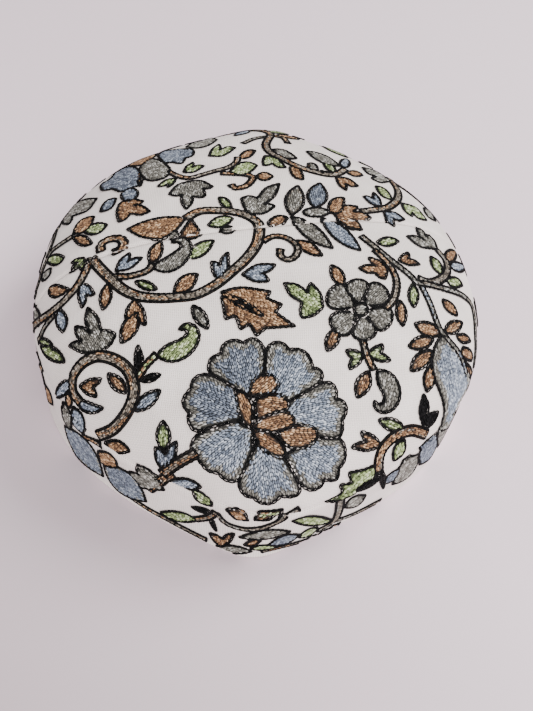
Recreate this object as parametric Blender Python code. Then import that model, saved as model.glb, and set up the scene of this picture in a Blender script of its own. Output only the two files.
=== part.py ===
"""Embroidered cap: a domed crown of two cloth panels on an upright side band, open below for the head.

+X is the wearer's left as the cap faces -Y, +Z is up, and the cap stands on its hem at Z = 0.
"""
from collections import namedtuple
from math import cos, exp, pi, radians, remainder, sin, sqrt

import bmesh
import bpy
from mathutils import Vector

# Sizes, in metres
RIM_WIDTH = 0.176       # left to right at the seam of crown and band
RIM_LENGTH = 0.177      # front to back there, without the creases
BAND_HEIGHT = 0.034     # hem to the seam of crown and band
CROWN_RISE = 0.037      # that seam to the top
CREASE_STAND = 0.0165   # how far the back crease stands out at the rim
FRONT_LEAN = 0.0065     # how far the hem lies inside the rim at the front
BACK_LEAN = 0.012       # and at the back
CROWN_WALL = 0.0016     # one layer of cloth with its embroidery
BAND_WALL = 0.0020      # the band's cloth is doubled
SEAM_GAP = 0.0003       # between pieces that are sewn together

# Shapes
RIM_POWER = 2.18                # plan of the rim: 2 is an ellipse, more is squarer
CROWN_POWER = 3.0               # profile of the crown: more is flatter on top, fuller at the shoulder
RIM_SOFTNESS = radians(6.9)     # half the rounded nose of a crease, as a turn round the cap
HEM_SOFTNESS = radians(4.6)
MIDDLE_SEAM_TURN = radians(9.5)   # the seam over the top against the left-right line

# The cap is kept folded flat, which leaves an upright crease at its front and one at its back.
# Bearings run anticlockwise from +X; stands are shares of CREASE_STAND.
Crease = namedtuple("Crease", "end rim_bearing hem_bearing rim_share hem_share spread")
CREASES = (
    Crease("front", radians(270), radians(267), 0.92, 1.13, radians(17.5)),
    Crease("back", radians(85.4), radians(85.4), 1.00, 1.12, radians(14.5)),
)

# Faces
AROUND = 120
CROWN_ROWS = 10
BAND_ROWS = 3
WELD = 1e-6

CLOTH_COLOUR = (0.83, 0.80, 0.77, 1.0)
CLOTH_ROUGHNESS = 0.9


def fade(bearing, middle, spread, softness):
    """1 on a crease's line, falling away to both sides, rounded within its softness."""
    away = remainder(bearing - middle, 2 * pi)
    return exp(-(sqrt(away ** 2 + softness ** 2) - softness) / spread)


def oval(bearing, depth):
    """Plan radius of the uncreased cap, depth inside its outer face."""
    across = abs(cos(bearing)) / (RIM_WIDTH / 2 - depth)
    along = abs(sin(bearing)) / (RIM_LENGTH / 2 - depth)
    return (across ** RIM_POWER + along ** RIM_POWER) ** (-1 / RIM_POWER)


def rim_stand(bearing):
    """How far the creases push the rim out at this bearing."""
    shares = (c.rim_share * fade(bearing, c.rim_bearing, c.spread, RIM_SOFTNESS) for c in CREASES)
    return CREASE_STAND * sum(shares)


def hem_stand(bearing):
    """How far the creases push the hem out at this bearing."""
    shares = (c.hem_share * fade(bearing, c.hem_bearing, c.spread, HEM_SOFTNESS) for c in CREASES)
    return CREASE_STAND * sum(shares)


def crown_point(bearing, climb, depth):
    """Point of the crown: climb is 0 at its rim and a quarter turn at its top, where creases end."""
    reach = cos(climb) ** (2 / CROWN_POWER) if climb < pi / 2 else 0.0
    radius = reach * (oval(bearing, depth) + reach * rim_stand(bearing))
    height = BAND_HEIGHT + (CROWN_RISE - depth) * sin(climb)
    return Vector((radius * cos(bearing), radius * sin(bearing), height))


def band_point(bearing, drop, depth):
    """Point of the band: drop is 0 at the crown's rim and 1 at the hem, which leans in."""
    rim = oval(bearing, depth) + rim_stand(bearing)
    hem = oval(bearing, depth) + hem_stand(bearing)
    lean = BACK_LEAN + (FRONT_LEAN - BACK_LEAN) * (1 - sin(bearing)) / 2
    upper = Vector((rim * cos(bearing), rim * sin(bearing), BAND_HEIGHT - SEAM_GAP))
    lower = Vector((hem * cos(bearing), hem * sin(bearing) * (1 - lean / (RIM_LENGTH / 2)), 0.0))
    return upper.lerp(lower, drop)


def add_patch(bm, rows, place):
    """Sheet of faces all the way round: place turns a bearing and a share of the rows into a point."""
    grid = bmesh.ops.create_grid(bm, x_segments=AROUND, y_segments=rows, size=0.5)
    for vert in grid["verts"]:
        vert.co = place((vert.co.x + 0.5) * 2 * pi, vert.co.y + 0.5)


def close_wall(bm):
    """Weld the sheets into one closed wall whose faces point out."""
    bmesh.ops.remove_doubles(bm, verts=bm.verts[:], dist=WELD)
    bmesh.ops.recalc_face_normals(bm, faces=bm.faces[:])


def crown_wall():
    """The whole crown: outer face, inner face and the edge at the rim."""
    bm = bmesh.new()
    add_patch(bm, CROWN_ROWS, lambda bearing, share: crown_point(bearing, share * pi / 2, 0.0))
    add_patch(bm, CROWN_ROWS, lambda bearing, share: crown_point(bearing, share * pi / 2, CROWN_WALL))
    add_patch(bm, 1, lambda bearing, share: crown_point(bearing, 0.0, share * CROWN_WALL))
    close_wall(bm)
    return bm


def crown_panel(side):
    """Half of the crown, cut at the seam over the top: side is 1 for the back and -1 for the front."""
    bm = crown_wall()
    across = Vector((-sin(MIDDLE_SEAM_TURN), cos(MIDDLE_SEAM_TURN), 0.0)) * side
    whole = bm.verts[:] + bm.edges[:] + bm.faces[:]
    cut = bmesh.ops.bisect_plane(bm, geom=whole, dist=WELD, plane_co=across * SEAM_GAP / 2,
                                 plane_no=across, clear_inner=True)
    edge = [item for item in cut["geom_cut"] if isinstance(item, bmesh.types.BMEdge)]
    bmesh.ops.edgeloop_fill(bm, edges=edge)
    bmesh.ops.recalc_face_normals(bm, faces=bm.faces[:])
    return bm


def side_band():
    """The band: outer face, inner face, the edge sewn to the crown and the hem."""
    bm = bmesh.new()
    add_patch(bm, BAND_ROWS, lambda bearing, share: band_point(bearing, share, 0.0))
    add_patch(bm, BAND_ROWS, lambda bearing, share: band_point(bearing, share, BAND_WALL))
    add_patch(bm, 1, lambda bearing, share: band_point(bearing, 0.0, share * BAND_WALL))
    add_patch(bm, 1, lambda bearing, share: band_point(bearing, 1.0, share * BAND_WALL))
    close_wall(bm)
    return bm


def cloth(name):
    """White cotton for one piece."""
    material = bpy.data.materials.new(name + "_cloth")
    material.use_nodes = True
    shader = material.node_tree.nodes["Principled BSDF"]
    shader.inputs["Base Color"].default_value = CLOTH_COLOUR
    shader.inputs["Roughness"].default_value = CLOTH_ROUGHNESS
    shader.inputs["Metallic"].default_value = 0.0
    return material


def add_piece(name, bm):
    """One named object from a finished bmesh, smooth but for its cut edges."""
    mesh = bpy.data.meshes.new(name)
    bmesh.ops.triangulate(bm, faces=[face for face in bm.faces if len(face.verts) > 4])
    bm.to_mesh(mesh)
    bm.free()
    mesh.shade_smooth()
    mesh.set_sharp_from_angle(angle=radians(40))
    mesh.materials.append(cloth(name))
    piece = bpy.data.objects.new(name, mesh)
    bpy.context.scene.collection.objects.link(piece)
    return piece


def centre_over_origin(pieces):
    """Move the cap so that the middle of its plan's box is over the origin."""
    points = [vert.co for piece in pieces for vert in piece.data.vertices]
    across = [point.x for point in points]
    along = [point.y for point in points]
    for piece in pieces:
        piece.location.x = -(min(across) + max(across)) / 2
        piece.location.y = -(min(along) + max(along)) / 2


def main():
    for old in list(bpy.data.objects):
        bpy.data.objects.remove(old, do_unlink=True)
    pieces = [
        add_piece("crown_front_panel", crown_panel(-1)),
        add_piece("crown_back_panel", crown_panel(1)),
        add_piece("side_band", side_band()),
    ]
    centre_over_origin(pieces)


main()
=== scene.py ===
"""Looks of the embroidered cap: three pieces of white cotton sewn at the rim and over the top,
worked all over in chain stitch with flowers, leaves and vines of coloured thread outlined in black.
"""
import random
from itertools import product
from math import atan2, ceil, cos, exp, hypot, pi, radians, remainder, sin, sqrt

import bmesh
import bpy
import numpy as np
from mathutils import Matrix, Vector, noise
from mathutils.bvhtree import BVHTree
from mathutils.kdtree import KDTree


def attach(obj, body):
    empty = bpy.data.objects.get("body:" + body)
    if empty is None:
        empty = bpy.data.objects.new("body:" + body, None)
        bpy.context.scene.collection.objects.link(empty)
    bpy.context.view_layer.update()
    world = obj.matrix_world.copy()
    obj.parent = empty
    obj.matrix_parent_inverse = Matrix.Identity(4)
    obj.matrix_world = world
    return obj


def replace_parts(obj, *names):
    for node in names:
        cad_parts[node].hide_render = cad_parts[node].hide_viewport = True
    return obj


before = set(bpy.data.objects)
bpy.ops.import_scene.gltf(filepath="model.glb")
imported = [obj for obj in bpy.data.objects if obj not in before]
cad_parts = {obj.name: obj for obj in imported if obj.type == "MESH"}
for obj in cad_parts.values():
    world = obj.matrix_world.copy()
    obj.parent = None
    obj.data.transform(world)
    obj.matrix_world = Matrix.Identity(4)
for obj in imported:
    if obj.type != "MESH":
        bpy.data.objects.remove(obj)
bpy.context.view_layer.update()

# Sizes of the cap, in metres, as in the part
RIM_WIDTH, RIM_LENGTH = 0.176, 0.177
BAND_HEIGHT, CROWN_RISE = 0.034, 0.037
CREASE_STAND = 0.0165
FRONT_LEAN, BACK_LEAN = 0.0065, 0.012
CROWN_WALL, BAND_WALL, SEAM_GAP = 0.0016, 0.0020, 0.0003
RIM_POWER, CROWN_POWER = 2.18, 3.0
RIM_SOFTNESS, HEM_SOFTNESS = radians(6.9), radians(4.6)
MIDDLE_SEAM_TURN = radians(9.5)
# Creases: bearing at the rim and at the hem, share of the stand there, spread
CREASES = (
    (radians(270), radians(267), 0.92, 1.13, radians(17.5)),
    (radians(85.4), radians(85.4), 1.00, 1.12, radians(14.5)),
)

# Where the camera stands, and the photograph's frame in pixels
LOOK_AT = Vector((0.0, 0.0, 0.040))
CAMERA_ELEVATION, CAMERA_AZIMUTH, CAMERA_ROLL = radians(42.464), radians(-6.37), radians(-5.449)
CAMERA_DISTANCE, AIM_RIGHT, AIM_UP = 0.342958, 0.005674, -0.027888
FRAME_WIDTH, FRAME_HEIGHT, FOCAL_PIXELS, SENSOR = 533, 711, 850.0, 36.0
CAP_MIDDLE = (256.0, 335.0)     # pixel about which its outline is drawn in
DRAW_IN_STEPS = 12              # pixels at most that a place off the outline is drawn in

# Relief of the cloth, in metres: the ditch at a seam, the roll and the puckers beside it
DITCH_DEPTH, DITCH_REACH = 0.00095, 0.0011
ROLL_RISE, ROLL_AWAY, ROLL_REACH = 0.00028, 0.0032, 0.0017
PUCKER_DEPTH, PUCKER_REACH = 0.00026, 0.0045
RIM_PUCKER, MIDDLE_PUCKER = 0.007, 0.006
MIDDLE_SEAM_SHARE = 0.85        # how deep the middle seam is, against the rim's
LEAST_SINK, BAND_SINK = 0.0002, 0.00012
CROWN_WAVE, CROWN_WAVE_SIZE = 0.00022, 0.022
BAND_WAVE, BAND_WAVE_SIZE = 0.0002, 0.018
DEEPEST_SHARE = 0.72            # of the crown's wall
HEM_HOLD = 0.004                # height over which the band's unevenness dies out
WELD = 2e-6

# Rows and columns of the cloth's faces
CROWN_COLUMNS, CROWN_OUTER_ROWS, CROWN_INNER_ROWS = 190, 84, 22
BAND_COLUMNS, BAND_OUTER_ROWS, HEM_ROWS, BAND_INNER_ROWS = 360, 40, 8, 12

# Thread and stitches, in metres
LOOP_PITCH, LOOP_WIDTH, OUTLINE_THREAD = 0.00200, 0.00156, 0.00060
FILL_PITCH, FILL_ROW, FILL_HEIGHT = 0.00130, 0.00066, 0.00042
# Tiles are dark patches laid flat under the stitches; under a fill they are painted shade, darkening
# the gaps between its stitches
TILE, TILE_LIFT, THREAD_LIFT = 0.00100, 0.00008, 0.00016
SEAM_CLEAR, HEM_CLEAR, STITCH_CLEAR, BESIDE_CLEAR = 0.0005, 0.0012, 0.00066, 0.0020
CELL = 0.001                    # side of the cells in which laid stitches are looked up
RIM, FLOWER_RIM = 0.0011, 0.0025    # width of the outer thread's part of a fill
FILL_STRAY = 0.00012            # how far a fill stitch strays from its row
OUTLINE_LAP = 0.00012           # how far a fill goes under its outline
RIM_STRAY = 0.0005              # how far the two threads of a fill run into each other
TILE_CHANCE = 0.22              # share of loops that get a tile in open cloth
STEM_TILE = 0.9                 # how close the tiles of a stem lie, against their size
NARROW_STEM = 1.9               # millimetres; a narrower stem is a single chain
CURVE_STEPS = 8                 # steps of a curve between two given points
OUTLINE_STEP = 0.0005           # step of an outline that a fill is measured against
FILL_SPACING = (0.82, 1.14)     # least and most between two fill stitches, against FILL_PITCH
FILL_LEAN, STEM_LEAN = 0.34, 0.3    # how far a fill stitch leans, in radians and as a slope
# Beyond this share of a petal's reach its rim is full, and nearer the heart this share as wide
PETAL_END, PETAL_SIDE = 0.62, 0.45
# A stem's two threads change over at this length, slanted across it, with this much chance
DRIFT_LENGTH, DRIFT_SLANT, DRIFT_STRAY = 0.0045, 1500, 0.7
LOOK_ALONG = 0.0008             # how far to each side a stem's direction is taken

# How far above a place a ray to the cloth starts, and how far it goes
SKIN_LIFT, SKIN_REACH = 0.003, 0.009
FRAME_LIFT, FRAME_REACH = 0.012, 0.045
STEM_LIFT, STEM_REACH = 0.004, 0.012

# Scattered leaves: heights, sizes and margin in millimetres, room in metres
SCATTER_HEIGHTS = (5.5, 69)
LEAF_MARGIN, LOBED_FROM = 0.9, 6.4
LEAST_ROOM, MOST_ROOM, SEAM_ROOM, LOWEST_LEAF = 0.0056, 0.0082, 0.005, 0.0062
FACING = 0.004                  # above this the place is taken to be in the camera's sight

# Millimetres that stand for one radian in a place given round the cap's sides
TURN_RADIUS = 88.0
OUTSIDE = 0.2                   # well outside the cap, in metres

chance = random.Random(7)


# Cloth

def fade(bearing, middle, spread, softness):
    """1 on a crease's line, falling away to both sides, rounded within its softness."""
    away = remainder(bearing - middle, 2 * pi)
    return exp(-(sqrt(away ** 2 + softness ** 2) - softness) / spread)


def oval(bearing, depth):
    """Plan radius of the uncreased cap, depth inside its outer face."""
    across = abs(cos(bearing)) / (RIM_WIDTH / 2 - depth)
    along = abs(sin(bearing)) / (RIM_LENGTH / 2 - depth)
    return (across ** RIM_POWER + along ** RIM_POWER) ** (-1 / RIM_POWER)


def rim_stand(bearing):
    return CREASE_STAND * sum(share * fade(bearing, middle, spread, RIM_SOFTNESS)
                              for middle, _, share, _, spread in CREASES)


def hem_stand(bearing):
    return CREASE_STAND * sum(share * fade(bearing, middle, spread, HEM_SOFTNESS)
                              for _, middle, _, share, spread in CREASES)


def crown_point(bearing, reach, depth):
    """Point of the crown: reach is 1 at its rim and 0 at its top."""
    radius = reach * (oval(bearing, depth) + reach * rim_stand(bearing))
    height = BAND_HEIGHT + (CROWN_RISE - depth) * sqrt(max(0.0, 1 - reach ** CROWN_POWER))
    return Vector((radius * cos(bearing), radius * sin(bearing), height))


def band_point(bearing, drop, depth):
    """Point of the band: drop is 0 at the crown's rim and 1 at the hem, which leans in."""
    rim = oval(bearing, depth) + rim_stand(bearing)
    hem = oval(bearing, depth) + hem_stand(bearing)
    lean = BACK_LEAN + (FRONT_LEAN - BACK_LEAN) * (1 - sin(bearing)) / 2
    upper = Vector((rim * cos(bearing), rim * sin(bearing), BAND_HEIGHT - SEAM_GAP))
    lower = Vector((hem * cos(bearing), hem * sin(bearing) * (1 - lean / (RIM_LENGTH / 2)), 0.0))
    return upper.lerp(lower, drop)


def seam_roll(away, pull):
    """How deep the cloth turns in near a seam, with a low roll beside it; pull varies the puckers."""
    ditch = DITCH_DEPTH * exp(-(away / DITCH_REACH) ** 2)
    roll = ROLL_RISE * exp(-((away - ROLL_AWAY) / ROLL_REACH) ** 2)
    pucker = PUCKER_DEPTH * pull * exp(-away / PUCKER_REACH)
    return max(0.0, ditch - roll + pucker + LEAST_SINK)


def ripple(point, size):
    """Slow unevenness of hand-sewn cloth, from -1 to 1."""
    return noise.noise(point / size)


def crown_skin_point(side, x, y, depth, plain=False):
    """Point of one crown panel from its half disc: x runs along the middle seam, y away from it."""
    reach = min(1.0, hypot(x, y))
    bearing = MIDDLE_SEAM_TURN + atan2(side * y, x)
    point = crown_point(bearing, reach, depth)
    if plain:
        return point
    from_rim = point.z - BAND_HEIGHT
    from_middle = abs(y) * RIM_WIDTH / 2
    sink = seam_roll(from_rim, ripple(point + Vector((0, 0, 9)), RIM_PUCKER))
    sink = max(sink, MIDDLE_SEAM_SHARE * seam_roll(from_middle, ripple(point, MIDDLE_PUCKER)))
    sink += CROWN_WAVE * (1 + ripple(point, CROWN_WAVE_SIZE))
    return crown_point(bearing, reach, min(depth + sink, CROWN_WALL * DEEPEST_SHARE))


def eased(share, hold):
    """Share from 0 to 1 with steps drawn together at both ends."""
    return share - hold * sin(2 * pi * share) / (2 * pi)


def add_sheet(bm, columns, rows, place):
    """Sheet of faces: place turns a share of the columns and a share of the rows into a point."""
    grid = bmesh.ops.create_grid(bm, x_segments=columns, y_segments=rows, size=0.5)
    for vert in grid["verts"]:
        vert.co = place(vert.co.x + 0.5, vert.co.y + 0.5)


def half_disc(column, row):
    """Columns stand on the middle seam; rows run from it to the rim."""
    turn = pi * column
    out = sin(pi / 2 * eased(row, 0.72))
    return cos(turn), max(out * sin(turn), SEAM_GAP / RIM_WIDTH * sin(turn))


def crown_cloth(side):
    """Closed wall of one crown panel, rolled in at its seams."""
    bm = bmesh.new()

    def outer(column, row):
        return crown_skin_point(side, *half_disc(column, row), 0.0)

    def inner(column, row):
        return crown_skin_point(side, *half_disc(column, row), CROWN_WALL, True)

    add_sheet(bm, CROWN_COLUMNS, CROWN_OUTER_ROWS, outer)
    add_sheet(bm, CROWN_COLUMNS, CROWN_INNER_ROWS, inner)
    for edge in (0.0, 1.0):
        add_sheet(bm, CROWN_COLUMNS, 1, lambda c, r: outer(c, edge).lerp(inner(c, edge), r))
    return close_cloth(bm)


def band_steps():
    """Height and depth of each row of the band's closed section, from its top edge outside round."""
    half = BAND_WALL / 2
    steps = []
    for row in range(BAND_OUTER_ROWS + 1):
        down = eased(row / BAND_OUTER_ROWS, 0.7)
        height = BAND_HEIGHT - SEAM_GAP - (BAND_HEIGHT - SEAM_GAP - half) * down
        steps.append((height, 0.0))
    for turn in range(1, HEM_ROWS):
        angle = pi * turn / HEM_ROWS
        steps.append((half * (1 - sin(angle)), half * (1 - cos(angle))))
    for row in range(BAND_INNER_ROWS + 1):
        rise = (BAND_HEIGHT - SEAM_GAP - half) * row / BAND_INNER_ROWS
        steps.append((half + rise, BAND_WALL))
    return steps + [steps[0]]


def band_skin_point(bearing, height, depth):
    """Point of the band with its rolled top edge and its slightly uneven outer face."""
    drop = 1 - height / (BAND_HEIGHT - SEAM_GAP)
    if depth == 0.0:
        flat = band_point(bearing, drop, 0.0)
        depth = seam_roll(BAND_HEIGHT - SEAM_GAP - height, ripple(flat, MIDDLE_PUCKER))
        hold = min(1.0, height / HEM_HOLD)
        depth += hold * (BAND_WAVE * (1 + ripple(flat, BAND_WAVE_SIZE)) + BAND_SINK)
    return band_point(bearing, drop, depth)


def band_cloth():
    """Closed section of the band, drawn all the way round."""
    bm = bmesh.new()
    steps = band_steps()
    last = len(steps) - 1

    def place(column, row):
        return band_skin_point(2 * pi * column, *steps[round(row * last)])

    add_sheet(bm, BAND_COLUMNS, last, place)
    return close_cloth(bm)


def close_cloth(bm):
    """Weld the sheets into one closed wall whose faces point out."""
    bmesh.ops.remove_doubles(bm, verts=bm.verts[:], dist=WELD)
    bmesh.ops.dissolve_degenerate(bm, edges=bm.edges[:], dist=1e-7)
    bmesh.ops.recalc_face_normals(bm, faces=bm.faces[:])
    return bm


def lay_out_weave(bm):
    """A flat map of each piece in metres, so that the weave follows the cloth."""
    flat = bm.loops.layers.uv.new("weave")
    for face in bm.faces:
        for loop in face.loops:
            point = loop.vert.co
            bearing = atan2(point.y, point.x)
            if point.z > BAND_HEIGHT:
                out = hypot(point.x, point.y) + (BAND_HEIGHT + CROWN_RISE - point.z)
                loop[flat].uv = (out * cos(bearing), out * sin(bearing))
            else:
                loop[flat].uv = (bearing * RIM_WIDTH / 2, point.z)
        turns = [loop[flat].uv.x for loop in face.loops]
        if max(turns) - min(turns) > RIM_WIDTH:
            for loop in face.loops:
                if loop[flat].uv.x < 0:
                    loop[flat].uv.x += pi * RIM_WIDTH


def middle_of_plan(points):
    """Where the middle of the plan's box is, which the part puts over the origin."""
    across = [point.x for point in points]
    along = [point.y for point in points]
    return Vector(((min(across) + max(across)) / 2, (min(along) + max(along)) / 2, 0.0))


outer_faces = [crown_point(2 * pi * i / 720, 1.0, 0.0) for i in range(720)]
outer_faces += [band_point(2 * pi * i / 720, drop, 0.0) for i in range(720) for drop in (0.0, 1.0)]
PLAN_MIDDLE = middle_of_plan(outer_faces)


# Guide skin: the smooth outer face that the needlework is drawn on

def guide_skin():
    """Crown and band without seams or rolls, in the frame's own place."""
    bm = bmesh.new()
    add_sheet(bm, 360, 70, lambda c, r: crown_point(2 * pi * c, cos(pi / 2 * r), 0.0) - PLAN_MIDDLE)
    add_sheet(bm, 360, 16, lambda c, r: band_point(2 * pi * c, r, 0.0) - PLAN_MIDDLE)
    bmesh.ops.remove_doubles(bm, verts=bm.verts[:], dist=WELD)
    return BVHTree.FromBMesh(bm)


GUIDE = guide_skin()


def camera_axes():
    """Camera's place and its right, up and back directions."""
    flat = cos(CAMERA_ELEVATION)
    back = Vector((sin(CAMERA_AZIMUTH) * flat, -cos(CAMERA_AZIMUTH) * flat, sin(CAMERA_ELEVATION)))
    right = Vector((cos(CAMERA_AZIMUTH), sin(CAMERA_AZIMUTH), 0.0))
    place = LOOK_AT + back * CAMERA_DISTANCE
    aim = LOOK_AT + right * AIM_RIGHT + back.cross(right) * AIM_UP
    back = (place - aim).normalized()
    level = Vector((0, 0, 1)).cross(back).normalized()
    upright = back.cross(level)
    right = level * cos(CAMERA_ROLL) - upright * sin(CAMERA_ROLL)
    up = level * sin(CAMERA_ROLL) + upright * cos(CAMERA_ROLL)
    return place, right, up, back


EYE, EYE_RIGHT, EYE_UP, EYE_BACK = camera_axes()


def outward(normal, point):
    return normal if normal.dot(point - Vector((0, 0, 0.01))) > 0 else -normal


def seen(x, y):
    """Point and normal of the guide skin at a pixel of the photograph. A place just off the cap's
    outline is drawn in to it; further off it is None."""
    for _ in range(DRAW_IN_STEPS):
        ray = (EYE_RIGHT * ((x - FRAME_WIDTH / 2) / FOCAL_PIXELS)
               - EYE_UP * ((y - FRAME_HEIGHT / 2) / FOCAL_PIXELS) - EYE_BACK).normalized()
        point, normal, _, _ = GUIDE.ray_cast(EYE, ray)
        if point is not None:
            return point, outward(normal, point)
        away = hypot(x - CAP_MIDDLE[0], y - CAP_MIDDLE[1])
        x -= (x - CAP_MIDDLE[0]) / away
        y -= (y - CAP_MIDDLE[1]) / away
    return None


def turned(run, height):
    """The same for the sides that the photograph hides: run is millimetres round the cap
    anticlockwise from +X, and height is in millimetres."""
    turn = run / TURN_RADIUS
    out = Vector((cos(turn), sin(turn), 0.0))
    start = out * OUTSIDE + Vector((0, 0, height / 1000))
    point, normal, _, _ = GUIDE.ray_cast(start, -out)
    return None if point is None else (point, outward(normal, point))


def over_top(x, y):
    """The same for a place on the crown's plan, in millimetres."""
    start = Vector((x / 1000, y / 1000, OUTSIDE))
    point, normal, _, _ = GUIDE.ray_cast(start, Vector((0, 0, -1)))
    return None if point is None else (point, outward(normal, point))


def panel_of(point):
    """Which piece of cloth a point of the guide lies on, or None too near a seam or the hem."""
    if point.z < HEM_CLEAR:
        return None
    if point.z < BAND_HEIGHT - SEAM_CLEAR:
        return "band"
    if point.z < BAND_HEIGHT + SEAM_CLEAR:
        return None
    spot = point + PLAN_MIDDLE
    away = spot.y * cos(MIDDLE_SEAM_TURN) - spot.x * sin(MIDDLE_SEAM_TURN)
    if abs(away) < SEAM_CLEAR:
        return None
    return "back" if away > 0 else "front"


# Needlework

class Work:
    """Stitches laid so far: where each thread's loops, fill stitches and ground tiles go."""

    def __init__(self, skins):
        self.skins = skins
        self.laid = {}
        self.cells = {}
        self.motif = 0

    def free(self, point, clear=STITCH_CLEAR):
        """True where no stitch of an earlier motif lies."""
        cell = tuple(int(v // CELL) for v in point)
        reach = ceil(clear / CELL)
        around = range(-reach, reach + 1)
        for dx, dy, dz in product(around, repeat=3):
            for other, motif in self.cells.get((cell[0] + dx, cell[1] + dy, cell[2] + dz), ()):
                if motif != self.motif and (other - point).length < clear:
                    return False
        return True

    def lay(self, kind, thread, guide, normal, along, tone):
        """One stitch on the cloth under a guide point."""
        panel = panel_of(guide)
        if panel is None or not self.free(guide):
            return
        point, face, _, _ = self.skins[panel].ray_cast(
            guide + normal * SKIN_LIFT, -normal, SKIN_REACH)
        if point is None:
            return
        up = outward(face, point)
        if up.dot(normal) < 0.5:
            up = normal
        along = (along - up * along.dot(up)).normalized()
        side = up.cross(along)
        lift = TILE_LIFT if kind == "tile" else THREAD_LIFT
        self.laid.setdefault((panel, thread), []).append(
            (kind, point + up * lift, along, side, up, tone))
        if kind != "tile":
            cell = tuple(int(v // CELL) for v in guide)
            self.cells.setdefault(cell, []).append((guide.copy(), self.motif))


def curve_through(points, corners, closed):
    """Points of a smooth curve through the given ones, sharp at the corners."""
    count = len(points)
    spans = count if closed else count - 1
    out = []
    for i in range(spans):
        a, b = points[i], points[(i + 1) % count]
        before = points[i - 1] if (closed or i > 0) and i not in corners else a
        sharp = (i + 1) % count in corners or (not closed and i + 2 >= count)
        after = b if sharp else points[(i + 2) % count]
        for step in range(CURVE_STEPS):
            t = step / CURVE_STEPS
            out.append(0.5 * (2 * a + (b - before) * t + (2 * before - 5 * a + 4 * b - after) * t * t
                              + (3 * a - before - 3 * b + after) * t ** 3))
    if not closed:
        out.append(points[-1])
    return out


def stepped(points, pitch, closed=False):
    """The same curve at even steps, with a whole number of them."""
    run = np.array(points + ([points[0]] if closed else []))
    lengths = np.concatenate([[0.0], np.cumsum(np.linalg.norm(np.diff(run, axis=0), axis=1))])
    count = max(1, round(lengths[-1] / pitch))
    at = np.linspace(0, lengths[-1], count + 1)
    return np.stack([np.interp(at, lengths, run[:, k]) for k in range(run.shape[1])], axis=1)


class Ground:
    """Flat frame that touches the guide skin in the middle of one motif."""

    def __init__(self, hits, towards):
        self.middle = sum((point for point, _ in hits), Vector()) / len(hits)
        self.normal = sum((normal for _, normal in hits), Vector()).normalized()
        self.right = (towards - self.normal * towards.dot(self.normal)).normalized()
        self.up = self.normal.cross(self.right)

    def flat(self, point):
        away = point - self.middle
        return np.array((away.dot(self.right), away.dot(self.up)))

    def hit(self, x, y):
        """Guide point and normal under a point of the flat frame."""
        start = self.middle + self.right * x + self.up * y + self.normal * FRAME_LIFT
        point, normal, _, _ = GUIDE.ray_cast(start, -self.normal, FRAME_REACH)
        return None if point is None else (point, outward(normal, point))


def edge_distance(points, outline):
    """Distance of each point to a closed outline, and whether it lies inside."""
    a = outline
    b = np.roll(outline, -1, axis=0)
    span = b - a
    from_a = points[:, None, :] - a[None]
    share = np.clip((from_a * span[None]).sum(2) / np.maximum((span ** 2).sum(1), 1e-15), 0, 1)
    gap = np.linalg.norm(from_a - share[..., None] * span[None], axis=2).min(1)
    rises = (a[None, :, 1] > points[:, None, 1]) != (b[None, :, 1] > points[:, None, 1])
    slope = np.where(np.abs(span[:, 1]) < 1e-12, 1e-12, span[:, 1])
    cross = a[:, 0] + (points[:, None, 1] - a[:, 1]) * (span[:, 0] / slope)
    inside = ((points[:, None, 0] < cross) & rises).sum(1) % 2 == 1
    return gap, inside


def work_outline(work, ground, runs, thread="black"):
    """Chain-stitch loops along each run of the outline."""
    for run in runs:
        spots = stepped(run, LOOP_PITCH)
        for a, b in zip(spots[:-1], spots[1:]):
            hit = ground.hit(*((a + b) / 2))
            if hit:
                step = b - a
                along = ground.right * step[0] + ground.up * step[1]
                work.lay("loop", thread, *hit, along, chance.uniform(-1, 1))
                if chance.random() < TILE_CHANCE or not work.free(hit[0], BESIDE_CLEAR):
                    work.lay("tile", thread, *hit, along, 0.0)


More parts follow.
